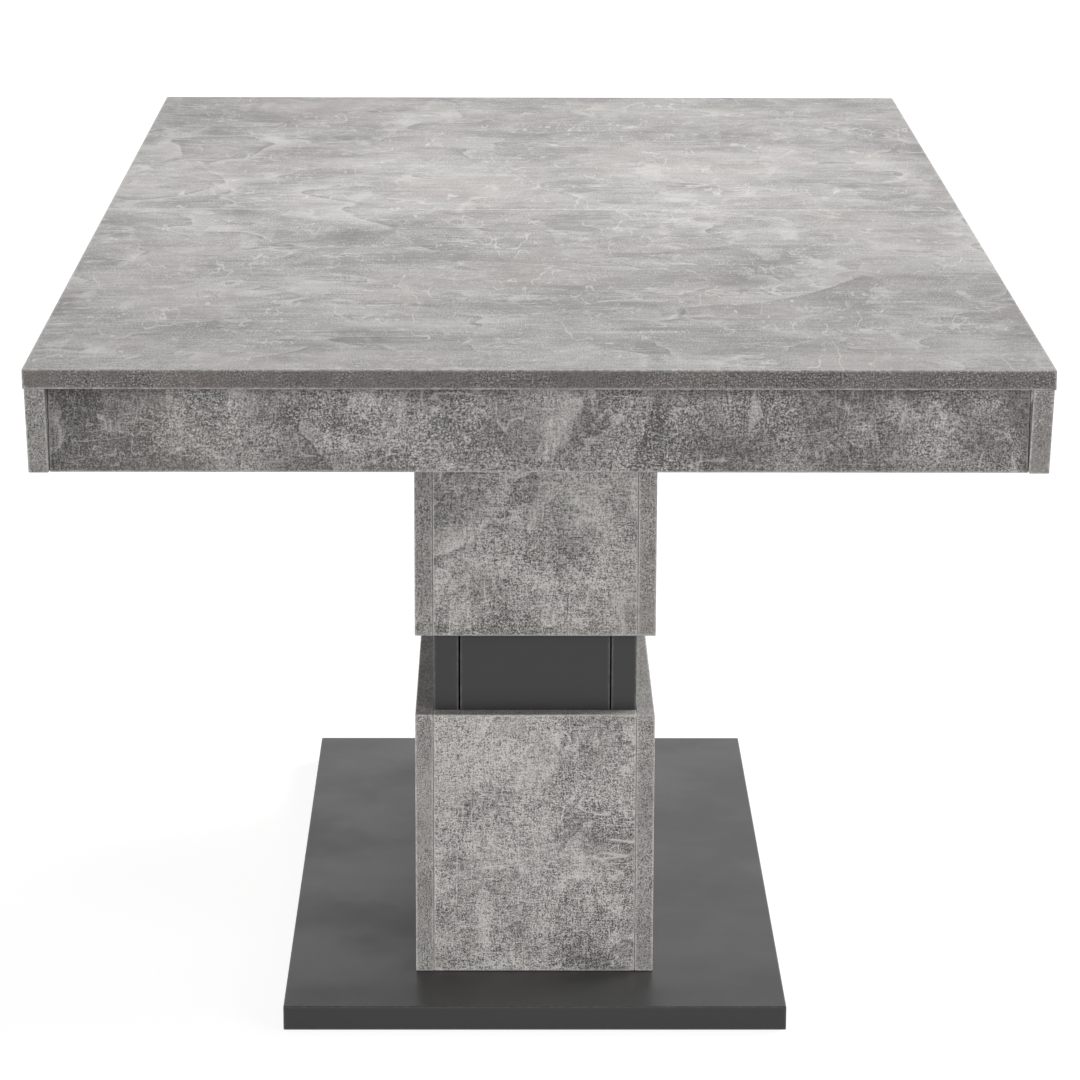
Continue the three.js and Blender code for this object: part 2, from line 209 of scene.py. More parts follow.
@dataclass
class Board:
    """A board that is a box with rounded arrises, and may have one raked end and holes in the other."""

    node: str
    thin: Axis
    arris: float = 0.001
    fade: float = 0.003
    lean_fades: float = 1.5
    rake: float = 0.0
    raked: End = End.NONE
    drilled: End = End.NONE
    drillings: tuple[Drilling, ...] = ()

    def __post_init__(self) -> None:
        """Takes the box of the CAD node."""
        low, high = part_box(self.node)
        self.low, self.high = np.array(low), np.array(high)

    def lines(self, axis: int) -> np.ndarray:
        """Places the grid lines along an axis.

        An arris is a quarter circle shared by two faces, so each face carries an eighth of a circle, and a
        line that stands at an angle t in it is at the tangent of t times the radius.

        Args:
            axis: 0, 1 or 2.

        Returns:
            The lines' coordinates, rising.
        """
        low, high = self.low[axis], self.high[axis]
        rise = self.arris * np.tan(np.linspace(0, math.pi / 4, ARC_STEPS + 1))
        inset = self.arris + self.fade
        extra = []
        if axis == Axis.X.value:
            reach = [(d.across - d.radius - d.margin, d.across + d.radius + d.margin) for d in self.drillings]
            extra = np.sort(np.array(reach).reshape(-1))
        foot, head = low + self.arris - rise[::-1], high - self.arris + rise
        return np.concatenate([foot, [low + inset], extra, [high - inset], head])

    def shifted(self, points: np.ndarray, normals: np.ndarray) -> tuple[np.ndarray, np.ndarray]:
        """Leans the raked end: a point of it moves inwards by the rake times its share of the way down.

        Args:
            points: places on the upright box.
            normals: directions on the upright box.

        Returns:
            The places and the directions on the leaning end.
        """
        if self.raked is End.NONE:
            return points, normals
        inward = -self.raked.value
        slope = self.rake / (self.high[2] - self.low[2])
        edge = self.low[1] if self.raked is End.LOW else self.high[1]
        near = np.abs(points[..., 1] - edge) < self.arris + self.lean_fades * self.fade
        moved, turned = points.copy(), normals.copy()
        moved[..., 1] += np.where(near, inward * slope * (self.high[2] - points[..., 2]), 0)
        turned[..., 2] += np.where(near, inward * slope * normals[..., 1], 0)
        return moved, turned / np.linalg.norm(turned, axis=-1, keepdims=True)

    def face(self, shell: Shell, axis: int, sign: int) -> None:
        """Adds one face: a point of the sharp box is pulled to the ball of the arris radius around the
        nearest point of the box that is smaller by that radius.

        Args:
            shell: takes the patch.
            axis: the axis that the face stands across.
            sign: which of the two faces, -1 or 1.
        """
        first, second = (axis + 1) % 3, (axis + 2) % 3
        u, v = np.meshgrid(self.lines(first), self.lines(second), indexing="ij")
        sharp = np.empty(u.shape + (3,))
        sharp[..., first], sharp[..., second] = u, v
        sharp[..., axis] = self.high[axis] if sign > 0 else self.low[axis]
        inner = np.clip(sharp, self.low + self.arris, self.high - self.arris)
        normals = (sharp - inner) / np.linalg.norm(sharp - inner, axis=-1, keepdims=True)
        depth = np.minimum(sharp - self.low, self.high - sharp)[..., [first, second]].min(-1)
        rim = 1 - np.clip((depth - self.arris) / self.fade, 0, 1)
        points, normals = self.shifted(inner + self.arris * normals, normals)
        quads = grid_quads(*u.shape, sign < 0)
        middle = sharp.reshape(-1, 3)[quads].mean(1)
        pulled = np.abs(inner - sharp).reshape(-1, 3)[quads].max(1)[:, [first, second]]
        flat = np.all(pulled < WELD, axis=1)
        tones = np.where(flat & (axis == self.thin.value), Tone.FACE.value, Tone.BAND.value)
        keep = np.ones(len(quads), bool)
        if axis == Axis.Y.value and sign == self.drilled.value:
            for drilling in self.drillings:
                level = (self.low[2] + self.high[2]) / 2
                beside = np.abs(middle[:, 0] - drilling.across) < drilling.radius
                keep &= ~(beside & (np.abs(middle[:, 2] - level) < drilling.radius / 2))
                self.hole(shell, drilling, sign)
        shell.add(points, normals, quads[keep], tones[keep], rim)

    def hole(self, shell: Shell, drilling: Drilling, sign: int) -> None:
        """Adds a blind hole: the plate around it, fanned from the circle to the cell's four corners, its
        wall, whose points are the circle at two depths, and its flat bottom.

        Args:
            shell: takes the patches.
            drilling: the hole.
            sign: which end of the board it is in.
        """
        mouth = self.high[1] if sign > 0 else self.low[1]
        level = (self.low[2] + self.high[2]) / 2
        angle = np.arange(HOLE_SIDES) * 2 * math.pi / HOLE_SIDES
        inset = self.arris + self.fade
        half = (self.high[2] - self.low[2]) / 2 - inset
        corners = np.array([(half, 1), (-half, 1), (-half, -1), (half, -1)], float)
        corners[:, 1] *= drilling.radius + drilling.margin
        circle = drilling.radius * np.stack([np.cos(angle), np.sin(angle)], -1)

        def placed(flat: np.ndarray, y: float) -> np.ndarray:
            """Puts points of the Z and X plane at a distance along Y."""
            return np.stack([drilling.across + flat[:, 1], np.full(len(flat), y), level + flat[:, 0]], -1)

        ring = np.arange(HOLE_SIDES)
        after = (ring + 1) % HOLE_SIDES
        quarter = ring // (HOLE_SIDES // 4)
        side = np.arange(4)
        fans = np.stack([ring, HOLE_SIDES + quarter, after], -1)
        joins = [HOLE_SIDES + side, HOLE_SIDES + (side + 1) % 4, (side + 1) * HOLE_SIDES // 4 % HOLE_SIDES]
        plate = np.concatenate([fans, np.stack(joins, -1)])
        outward = np.array([0.0, float(sign), 0.0])
        plate_points = placed(np.concatenate([circle, corners]), mouth)
        turn = slice(None, None, -1) if sign < 0 else slice(None)
        shell.add(plate_points, np.tile(outward, (len(plate_points), 1)), plate[:, turn], Tone.BAND.value)
        floor_y = mouth - sign * drilling.depth
        wall_points = np.concatenate([placed(circle, mouth), placed(circle, floor_y)])
        inwards = np.stack([-np.sin(angle), 0 * angle, -np.cos(angle)], -1)
        wall = np.stack([ring, after, after + HOLE_SIDES, ring + HOLE_SIDES], -1)
        shell.add(wall_points, np.tile(inwards, (2, 1)), wall[:, turn], Tone.RAW.value)
        disc_points = np.concatenate([placed(circle, floor_y), placed(np.zeros((1, 2)), floor_y)])
        disc = np.stack([ring, after, np.full(HOLE_SIDES, HOLE_SIDES)], -1)
        shell.add(disc_points, np.tile(outward, (len(disc_points), 1)), disc[:, turn], Tone.RAW.value)

    def build(self, materials: list[bpy.types.Material]) -> bpy.types.Object:
        """Makes the piece, which stands for its CAD node.

        Args:
            materials: the face's, the edge band's and, with holes, the raw core's.

        Returns:
            The new piece.
        """
        shell = Shell()
        for axis in range(3):
            for sign in (-1, 1):
                self.face(shell, axis, sign)
        piece = shell.build(f"{self.node}_board", materials)
        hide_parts(self.node)
        return piece


@dataclass
class Disc:
    """A flat round foot, rounded at its lower edge and chamfered at its upper one: a profile carried
    round an upright line."""

    node: str
    edge: float = 0.0008
    sides: int = 48
    bend_points: int = 5

    def build(self, material: bpy.types.Material) -> bpy.types.Object:
        """Makes the piece. A profile point at a radius r and a height z goes to r times the cosine and
        the sine of the turn, and z.

        Args:
            material: its finish.

        Returns:
            The new piece.
        """
        low, high = (np.array(corner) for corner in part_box(self.node))
        middle = (low + high) / 2
        radius = (high[0] - low[0]) / 2
        bend = np.linspace(0, math.pi / 2, self.bend_points)
        arc_r, arc_z = radius - self.edge + self.edge * np.sin(bend), self.edge - self.edge * np.cos(bend)
        profile_r = np.concatenate([[0.0], arc_r, [radius, radius - self.edge, 0.0]])
        top = high[2] - low[2]
        profile_z = np.concatenate([[0.0], arc_z, [top - self.edge, top, top]])
        turn = np.arange(self.sides) * 2 * math.pi / self.sides
        x = np.outer(profile_r, np.cos(turn)) + middle[0]
        y = np.outer(profile_r, np.sin(turn)) + middle[1]
        z = np.repeat(profile_z[:, None], self.sides, 1) + low[2]
        points = np.stack([x, y, z], -1)
        slope_r, slope_z = np.gradient(profile_r), np.gradient(profile_z)
        length = np.maximum(np.hypot(slope_r, slope_z), WELD)
        flat_r, flat_z = slope_z / length, -slope_r / length
        normals = np.stack([np.outer(flat_r, np.cos(turn)), np.outer(flat_r, np.sin(turn)),
                            np.repeat(flat_z[:, None], self.sides, 1)], -1)
        rows = len(profile_r)
        index = np.arange(rows * self.sides).reshape(rows, self.sides)
        nxt = np.roll(index, -1, 1)
        quads = np.stack([index[1:-2], nxt[1:-2], nxt[2:-1], index[2:-1]], -1).reshape(-1, 4)
        foot = np.stack([index[0], nxt[1], index[1]], -1)
        cap = np.stack([index[-1], index[-2], nxt[-2]], -1)
        shell = Shell()
        for faces in (quads, foot, cap):
            shell.add(points, normals, faces, Tone.FACE.value)
        piece = shell.build(f"{self.node}_foot", [material])
        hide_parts(self.node)
        return piece


# ---- node trees


class Graph:
    """Adds nodes to a tree and links them."""

    def __init__(self, tree: bpy.types.NodeTree) -> None:
        """Works on a tree."""
        self.tree = tree
        self.column = 0

    @classmethod
    def opened(cls, owner: bpy.types.Material | bpy.types.World) -> "Graph":
        """Empties a material's or a world's node tree and works on it.

        Args:
            owner: the material or the world.

        Returns:
            The graph of its empty tree.
        """
        owner.use_nodes = True
        owner.node_tree.nodes.clear()
        return cls(owner.node_tree)

    def add(self, kind: str, inputs: dict | None = None, **settings: object) -> bpy.types.Node:
        """Adds a node.

        Args:
            kind: the node's type, without its ShaderNode prefix.
            inputs: what each input, by name or number, is set or linked to.
            settings: the node's own properties.

        Returns:
            The new node.
        """
        node = self.tree.nodes.new(kind if kind.startswith("Node") else f"ShaderNode{kind}")
        for key, value in settings.items():
            setattr(node, key, value)
        for key, value in (inputs or {}).items():
            if isinstance(value, bpy.types.NodeSocket):
                self.tree.links.new(value, node.inputs[key])
            else:
                node.inputs[key].default_value = value
        node.location = (self.column * NODE_STEP, 0)
        self.column += 1
        return node

    def noise(self, vector: object, scale: object, detail: float = 3.0, roughness: float = 0.55,
              distortion: float = 0.0) -> bpy.types.NodeSocket:
        """Adds fractal noise around 0.5 and returns its value."""
        return self.add("TexNoise", {"Vector": vector, "Scale": scale, "Detail": detail,
                                     "Roughness": roughness, "Distortion": distortion}).outputs["Fac"]

    def math(self, operation: str, first: object, second: object = 0.0,
             clamp: bool = False) -> bpy.types.NodeSocket:
        """Adds a sum, product or other operation on two numbers and returns its result."""
        return self.add("Math", {0: first, 1: second}, operation=operation, use_clamp=clamp).outputs[0]

    def scaled(self, value: object, factor: object, offset: object = 0.0) -> bpy.types.NodeSocket:
        """Multiplies a value by a factor and adds an offset."""
        return self.add("Math", {0: value, 1: factor, 2: offset}, operation="MULTIPLY_ADD").outputs[0]

    def between(self, value: object, low: float, high: float, out_low: float = 0.0,
                out_high: float = 1.0) -> bpy.types.NodeSocket:
        """Maps a value from low and high, smoothly and clamped, to the two outer values."""
        inputs = {"Value": value, "From Min": low, "From Max": high, "To Min": out_low, "To Max": out_high}
        return self.add("MapRange", inputs, interpolation_type="SMOOTHSTEP").outputs["Result"]

    def mix(self, share: object, first: object, second: object) -> bpy.types.NodeSocket:
        """Mixes two colours and returns the result."""
        return self.add("Mix", {0: share, 6: first, 7: second}, data_type="RGBA").outputs[2]

    def moved(self, vector: object, offset: Place, scale: Place = (1, 1, 1)) -> bpy.types.NodeSocket:
        """Shifts and stretches a vector."""
        inputs = {"Vector": vector, "Location": offset, "Scale": scale}
        return self.add("Mapping", inputs).outputs[0]

    def close(self, out: bpy.types.Node, results: dict[str, bpy.types.NodeSocket]) -> None:
        """Links a group's results to its output node by name."""
        for label, value in results.items():
            self.tree.links.new(value, out.inputs[label])


def rgba(colour: Colour) -> tuple[float, float, float, float]:
    """Gives a colour its fourth value."""
    return (*colour, 1.0)


class Effects:
    """The shader node groups that several finishes share, each built once."""

    def __init__(self) -> None:
        """Starts with no group built."""
        self.built: dict[str, bpy.types.NodeTree] = {}

    def group(self, name: str, outputs: tuple[str, ...],
              inputs: dict[str, float] | None = None) -> tuple[Graph, bpy.types.NodeOutputs, bpy.types.Node]:
        """Opens a new group that takes a place and some numbers, and gives numbers.

        Args:
            name: the group's name.
            outputs: the names of what it gives.
            inputs: the first value of each number that it takes, by name.

        Returns:
            The group's graph, what its input node hands on, and its output node.
        """
        tree = bpy.data.node_groups.new(name, "ShaderNodeTree")
        tree.interface.new_socket("Vector", in_out="INPUT", socket_type="NodeSocketVector")
        for label, value in (inputs or {}).items():
            socket = tree.interface.new_socket(label, in_out="INPUT", socket_type="NodeSocketFloat")
            socket.default_value = value
        for label in outputs:
            tree.interface.new_socket(label, in_out="OUTPUT", socket_type="NodeSocketFloat")
        self.built[name] = tree
        graph = Graph(tree)
        return graph, graph.add("NodeGroupInput").outputs, graph.add("NodeGroupOutput")

    def place(self, graph: Graph, name: str, inputs: dict) -> bpy.types.Node:
        """Places a group in a material's tree, building it first if it is new.

        Args:
            graph: the material's graph.
            name: the name of a method of this class.
            inputs: what each of its inputs is set or linked to.

        Returns:
            The group's node.
        """
        if name not in self.built:
            getattr(self, name)()
        return graph.add("Group", inputs, node_tree=self.built[name])

    def cement_clouds(self) -> None:
        """Builds the broad clouds, the crisp-edged patches where the skin has spalled, the pale flakes along
        their edges, smears of pale haze and a slow tint. Every layer reads the same place, bent by slow
        noise, but for the mask that breaks up the flakes."""
        graph, into, out = self.group("cement_clouds", ("Tone", "Spall", "Flake", "Haze", "Tint"))
        vector = into["Vector"]
        swirl = graph.add("TexNoise", {"Vector": vector, "Scale": 4.5, "Detail": 3.0}).outputs["Color"]
        centred = graph.add("VectorMath", {0: swirl, 1: (0.5, 0.5, 0.5)}, operation="SUBTRACT").outputs[0]
        scaled = graph.add("VectorMath", {0: centred, "Scale": 0.1}, operation="SCALE").outputs[0]
        warped = graph.add("VectorMath", {0: vector, 1: scaled}, operation="ADD").outputs[0]
        broad = graph.between(graph.noise(warped, 2.6, 2.0, 0.5), 0.34, 0.66)
        middle = graph.between(graph.noise(graph.moved(warped, (4.1, 1.7, 9.2)), 11.0, 4.0, 0.55), 0.3, 0.7)
        small = graph.between(graph.noise(graph.moved(warped, (7.7, 3.3, 0.4)), 42.0, 3.0, 0.6), 0.25, 0.75)
        tone = graph.scaled(small, 0.22, graph.scaled(middle, 0.44, graph.scaled(broad, 0.34)))
        spalled = graph.noise(graph.moved(warped, (2.9, 8.3, 5.5)), 8.0, 3.0, 0.5)
        fading = graph.between(graph.noise(graph.moved(warped, (3.3, 9.6, 1.2)), 6.0, 2.0, 0.5), 0.4, 0.58)
        spall = graph.math("MULTIPLY", graph.between(spalled, 0.52, 0.545), fading)
        off_shore = graph.math("ABSOLUTE", graph.math("SUBTRACT", spalled, 0.518))
        shore = graph.between(off_shore, 0.001, 0.01, 1.0, 0.0)
        lit = graph.between(graph.noise(graph.moved(vector, (0.9, 5.1, 6.6)), 26.0, 4.0, 0.6), 0.48, 0.6)
        tint = graph.between(graph.noise(graph.moved(warped, (6.4, 0.8, 3.9)), 5.4, 5.0, 0.6), 0.48, 0.68)
        smeared = graph.noise(graph.moved(warped, (5.3, 2.1, 7.9), (1.7, 0.6, 1)), 15.0, 5.0, 0.6)
        results = {"Tone": tone, "Spall": spall, "Flake": graph.math("MULTIPLY", shore, lit),
                   "Haze": graph.between(smeared, 0.56, 0.68), "Tint": tint}
        graph.close(out, results)

    def cement_specks(self) -> None:
        """Builds the fine grain around 0, and the pale flecks and dark pits, which crowd together where a
        slow noise is high."""
        graph, into, out = self.group("cement_specks", ("Grain", "Pale", "Dark"))
        vector = into["Vector"]
        crowd = graph.noise(graph.moved(vector, (8.2, 6.7, 4.4)), 16.0, 3.0, 0.55)
        fine = graph.math("SUBTRACT", graph.noise(vector, 760.0, 1.0, 0.8), 0.5)
        coarse = graph.math("SUBTRACT", graph.noise(graph.moved(vector, (6.1, 4.9, 2.3)), 230.0, 2.0), 0.5)
        weave = graph.math("ADD", graph.noise(graph.moved(vector, (0.4, 3.3, 7.2), (0.14, 1, 1)), 700.0, 1.0),
                           graph.noise(graph.moved(vector, (9.1, 2.8, 5.6), (1, 0.14, 1)), 700.0, 1.0))
        grain = graph.scaled(graph.math("SUBTRACT", weave, 1.0), 0.3, graph.scaled(coarse, 0.15, fine))
        pale = graph.between(graph.noise(graph.moved(vector, (3.1, 5.9, 1.3)), 560.0, 1.0, 0.6), 0.56, 0.63)
        dark = graph.between(graph.noise(graph.moved(vector, (1.2, 0.7, 8.6)), 420.0, 1.0, 0.6), 0.6, 0.68)
        results = {"Grain": graph.math("MULTIPLY", grain, graph.between(crowd, 0.35, 0.62, 0.75, 1.2)),
                   "Pale": graph.math("MULTIPLY", pale, graph.between(crowd, 0.42, 0.58, 0.25, 1.0)),
                   "Dark": graph.math("MULTIPLY", dark, graph.between(crowd, 0.38, 0.6, 0.3, 1.0))}
        graph.close(out, results)

    def hair_scratches(self) -> None:
        """Builds thin creases in two directions: each is a stretch of a contour line of drawn-out noise."""
        graph, into, out = self.group("hair_scratches", ("Line",))
        vector = into["Vector"]
        lines = []
        for offset, stretch in (((0.6, 2.2, 4.8), (1.0, 4.0, 1.0)), ((5.2, 0.9, 2.4), (4.0, 1.0, 1.0))):
            contour = graph.noise(graph.moved(vector, offset, stretch), 8.0, 2.0, 0.45)
            away = graph.math("ABSOLUTE", graph.math("SUBTRACT", contour, 0.5))
            seen = graph.between(graph.noise(graph.moved(vector, offset[::-1]), 18.0, 4.0, 0.65), 0.52, 0.58)
            lines.append(graph.math("MULTIPLY", graph.between(away, 0.002, 0.012, 1.0, 0.0), seen))
        graph.close(out, {"Line": graph.math("MAXIMUM", *lines)})

    def trowel_marks(self) -> None:
        """Builds curved trowel marks: along a contour of slow noise, a soft pale side and a thin dark one."""
        graph, into, out = self.group("trowel_marks", ("Mark",))
        vector = into["Vector"]
        swept = graph.noise(graph.moved(vector, (1.9, 6.1, 2.7)), 2.2, 3.0, 0.5, 0.6)
        ramp = graph.add("ValToRGB", {0: swept})
        stops = ((0.0, 0.5), (0.466, 0.5), (0.489, 0.2), (0.492, 1.0), (0.53, 0.58), (0.56, 0.5))
        elements = ramp.color_ramp.elements
        while len(elements) < len(stops):
            elements.new(0.5)
        for element, (position, level) in zip(elements, stops):
            element.position, element.color = position, (level, level, level, 1.0)
        seen = graph.between(graph.noise(graph.moved(vector, (8.8, 4.4, 0.3)), 4.8, 3.0, 0.55), 0.47, 0.58)
        mark = graph.math("SUBTRACT", ramp.outputs[0], 0.5)
        graph.close(out, {"Mark": graph.math("MULTIPLY", mark, seen)})

    def arris_wear_and_highlight(self) -> None:
        """Builds the mask of the pale arrises from a piece's own rim and arris values, broken up by noise:
        partly abrasion, partly a painted highlight where an edge would catch the light.
        """
        graph, into, out = self.group("arris_wear_and_highlight", ("Mask",), {"Amount": 1.0})
        rim = graph.add("Attribute", attribute_name="rim").outputs["Fac"]
        arris = graph.add("Attribute", attribute_name="arris").outputs["Fac"]
        chips = graph.between(graph.noise(into["Vector"], 140.0, 4.0, 0.7), 0.4, 0.66)
        line = graph.scaled(chips, 0.45, 0.55)
        near = graph.math("MULTIPLY", graph.math("POWER", rim, 4.0), graph.scaled(chips, 0.4, 0.25))
        whole = graph.math("MAXIMUM", graph.math("MULTIPLY", arris, line), near)
        scaled = graph.math("MULTIPLY", whole, into["Amount"], clamp=True)
        graph.close(out, {"Mask": scaled})

    def moulded_grain(self) -> None:
        """Builds the fine orange-peel skin of pressed boards and mouldings, with faint smudges."""
        graph, into, out = self.group("moulded_grain", ("Height", "Smudge"), {"Scale": 900.0})
        vector = into["Vector"]
        skin = graph.noise(vector, into["Scale"], 3.0, 0.6)
        smudge = graph.between(graph.noise(graph.moved(vector, (3.7, 7.1, 1.1)), 6.0, 6.0, 0.62), 0.35, 0.68)
        graph.close(out, {"Height": skin, "Smudge": smudge})

    def drawn_lines(self) -> None:
        """Builds the fine lines that rolling leaves along Y on steel, with scattered scratches."""
        graph, into, out = self.group("drawn_lines", ("Line", "Scratch"))
        vector = into["Vector"]
        line = graph.noise(graph.moved(vector, (0.2, 0.5, 0.9), (1.0, 0.02, 1.0)), 1400.0, 3.0, 0.6)
        cut = graph.noise(graph.moved(vector, (1.4, 2.6, 0.1), (0.3, 0.05, 1.0)), 700.0, 2.0, 0.5)
        graph.close(out, {"Line": line, "Scratch": graph.between(cut, 0.64, 0.74)})


effects = Effects()


# ---- finishes


@dataclass(frozen=True)
class Finish:
    """A material recipe. A subclass paints the colour, the roughness and the height of the skin."""

    roughness: float = 0.5
    metallic: float = 0.0
    specular: float = 0.5
    bump: float = 0.25
    depth: float = 0.0002

    def paint(self, graph: Graph, vector: bpy.types.NodeSocket) -> dict[str, object]:
        """Gives the colour, roughness and height sockets. Each subclass has its own."""
        raise NotImplementedError

    def material(self, name: str, thin: Axis = Axis.Z, shift: Place = (0, 0, 0)) -> bpy.types.Material:
        """Makes the material.

        Args:
            name: the material's name.
            thin: the axis across the surface, which the pattern is turned to.
            shift: where on the printed sheet the piece is cut from.

        Returns:
            The new material.
        """
        made = bpy.data.materials.new(name)
        graph = Graph.opened(made)
        place = graph.add("TexCoord").outputs["Object"]
        turns = {Axis.X: (0, math.pi / 2, 0), Axis.Y: (math.pi / 2, 0, 0), Axis.Z: (0, 0, 0)}
        turned = {"Vector": place, "Location": shift, "Rotation": turns[thin]}
        vector = graph.add("Mapping", turned).outputs[0]
        paint = self.paint(graph, vector)
        inputs = {"Base Color": paint["colour"], "Roughness": paint["roughness"], "Metallic": self.metallic,
                  "Specular IOR Level": self.specular}
        shader = graph.add("BsdfPrincipled", inputs)
        bump = graph.add("Bump", {"Strength": self.bump, "Distance": self.depth, "Height": paint["height"]})
        graph.tree.links.new(bump.outputs[0], shader.inputs["Normal"])
        graph.add("OutputMaterial", {"Surface": shader.outputs[0]})
        return made


@dataclass(frozen=True)
class CementPrint(Finish):
    """Printed concrete: clouds, spalled patches, trowel marks, grain, flecks and hairlines."""

    pale: Colour = (0.87, 0.84, 0.81)
    dark: Colour = (0.07, 0.066, 0.062)
    blush: Colour = (0.31, 0.26, 0.242)
    fleck: Colour = (0.84, 0.82, 0.79)
    pit: Colour = (0.055, 0.05, 0.047)
    # Pale colour of abraded arrises; it also serves as a painted highlight along the edges.
    rubbed_and_highlight: Colour = (0.86, 0.84, 0.81)
    lift: float = 0.0
    clouds: float = 0.76
    haze: float = 0.3
    grain: float = 2.8
    flecks: float = 0.72
    pits: float = 0.22
    spall: float = 0.16
    flake: float = 0.3
    streaks: float = 0.0
    marks: float = 0.5
    scratches: float = 0.7
    # Strength of the pale arrises: abrasion and painted highlight together.
    wear_and_highlight: float = 0.9
    tint: float = 0.32
    grain_gloss: float = 0.5
    small_marks: float = 2.7
    small_scratches: float = 2.4

    def paint(self, graph: Graph, vector: bpy.types.NodeSocket) -> dict[str, object]:
        """Layers the clouds, the blush, the spalls, the grain, the marks and the pale arrises, which are
        partly abrasion and partly a painted highlight.

        Args:
            graph: the material's graph.
            vector: the place on the printed sheet.

        Returns:
            The colour, roughness and height sockets.
        """
        clouds = effects.place(graph, "cement_clouds", {"Vector": vector}).outputs
        specks = effects.place(graph, "cement_specks", {"Vector": vector}).outputs
        tone = graph.scaled(clouds["Tone"], self.clouds, (1 - self.clouds + self.spall) / 2 + self.lift)
        tone = graph.scaled(clouds["Spall"], -self.spall, tone)
        tone = graph.scaled(clouds["Flake"], self.flake, tone)
        tone = graph.scaled(clouds["Haze"], self.haze, tone)
        if self.marks:
            for place in (vector, graph.moved(vector, (0.7, 1.3, 0.2), (self.small_marks,) * 3)):
                mark = effects.place(graph, "trowel_marks", {"Vector": place}).outputs["Mark"]
                tone = graph.scaled(mark, self.marks, tone)
        if self.streaks:
            drawn = graph.noise(graph.moved(vector, (3.6, 0.4, 1.5), (0.07, 1, 1)), 190.0, 4.0, 0.75)
            tone = graph.scaled(graph.math("SUBTRACT", drawn, 0.5), self.streaks, tone)
        tone = graph.math("ADD", tone, graph.math("MULTIPLY", specks["Grain"], self.grain), clamp=True)
        colour = graph.mix(tone, rgba(self.dark), rgba(self.pale))
        colour = graph.mix(graph.math("MULTIPLY", clouds["Tint"], self.tint), colour, rgba(self.blush))
        colour = graph.mix(graph.math("MULTIPLY", specks["Dark"], self.pits), colour, rgba(self.pit))
        colour = graph.mix(graph.math("MULTIPLY", specks["Pale"], self.flecks), colour, rgba(self.fleck))
        if self.scratches:
            for place in (vector, graph.moved(vector, (1.8, 0.3, 2.9), (self.small_scratches,) * 3)):
                hair = effects.place(graph, "hair_scratches", {"Vector": place}).outputs["Line"]
                colour = graph.mix(graph.math("MULTIPLY", hair, self.scratches), colour, rgba(self.fleck))
        # Paints the arrises pale: partly abrasion, partly a painted highlight where an edge would catch the
        # light.
        wear_and_highlight_mask = effects.place(graph, "arris_wear_and_highlight", {"Vector": vector, "Amount": self.wear_and_highlight}).outputs["Mask"]
        colour = graph.mix(wear_and_highlight_mask, colour, rgba(self.rubbed_and_highlight))
        rough = graph.scaled(specks["Grain"], self.grain_gloss, self.roughness)
        return {"colour": colour, "roughness": rough, "height": specks["Grain"]}


@dataclass(frozen=True)
class EdgeBand(CementPrint):
    """The edge band that goes with the print: darker and more even, with no haze, marks or scratches."""

    clouds: float = 0.35
    haze: float = 0.0
    spall: float = 0.1
    flake: float = 0.1
    marks: float = 0.0
    scratches: float = 0.0


@dataclass(frozen=True)
class PressedSkin(Finish):
    """A plain pressed or moulded skin, such as graphite melamine or nylon, faintly smudged."""

    base: Colour = (0.032, 0.032, 0.032)
    bloom: Colour = (0.04, 0.04, 0.04)
    # Pale arris colour and its strength below: abrasion and a painted highlight together.
    rubbed_and_highlight: Colour = (0.26, 0.26, 0.26)
    grain: float = 900.0
    wear_and_highlight: float = 0.6

    def paint(self, graph: Graph, vector: bpy.types.NodeSocket) -> dict[str, object]:
        """Mixes two close tones by the smudges, with pale arrises that are partly abrasion and partly a
        painted highlight.

        Args:
            graph: the material's graph.
            vector: the place on the piece.

        Returns:
            The colour, roughness and height sockets.
        """
        grain = effects.place(graph, "moulded_grain", {"Vector": vector, "Scale": self.grain})
        colour = graph.mix(grain.outputs["Smudge"], rgba(self.base), rgba(self.bloom))
        # Paints the arrises pale: partly abrasion, partly a painted highlight.
        wear_and_highlight_mask = effects.place(graph, "arris_wear_and_highlight", {"Vector": vector, "Amount": self.wear_and_highlight}).outputs["Mask"]
        colour = graph.mix(wear_and_highlight_mask, colour, rgba(self.rubbed_and_highlight))
        rough = graph.scaled(grain.outputs["Smudge"], 0.1, self.roughness - 0.05)
        return {"colour": colour, "roughness": rough, "height": grain.outputs["Height"]}


@dataclass(frozen=True)
class MetalSkin(Finish):
    """Rolled or plated steel: lines along Y, scattered scratches and slow dull patches."""

    base: Colour = (0.45, 0.46, 0.47)
    dull: Colour = (0.3, 0.305, 0.31)

    def paint(self, graph: Graph, vector: bpy.types.NodeSocket) -> dict[str, object]:
        """Mixes bright and dull metal by the lines, and roughens the scratches.

        Args:
            graph: the material's graph.
            vector: the place on the piece.

        Returns:
            The colour, roughness and height sockets.
        """
        lines = effects.place(graph, "drawn_lines", {"Vector": vector})
        grain = effects.place(graph, "moulded_grain", {"Vector": vector, "Scale": 260.0})
        share = graph.math("MULTIPLY", grain.outputs["Smudge"], lines.outputs["Line"], clamp=True)
        colour = graph.mix(share, rgba(self.base), rgba(self.dull))
        rough = graph.scaled(lines.outputs["Scratch"], 0.25, self.roughness)
        return {"colour": colour, "roughness": rough, "height": lines.outputs["Line"]}


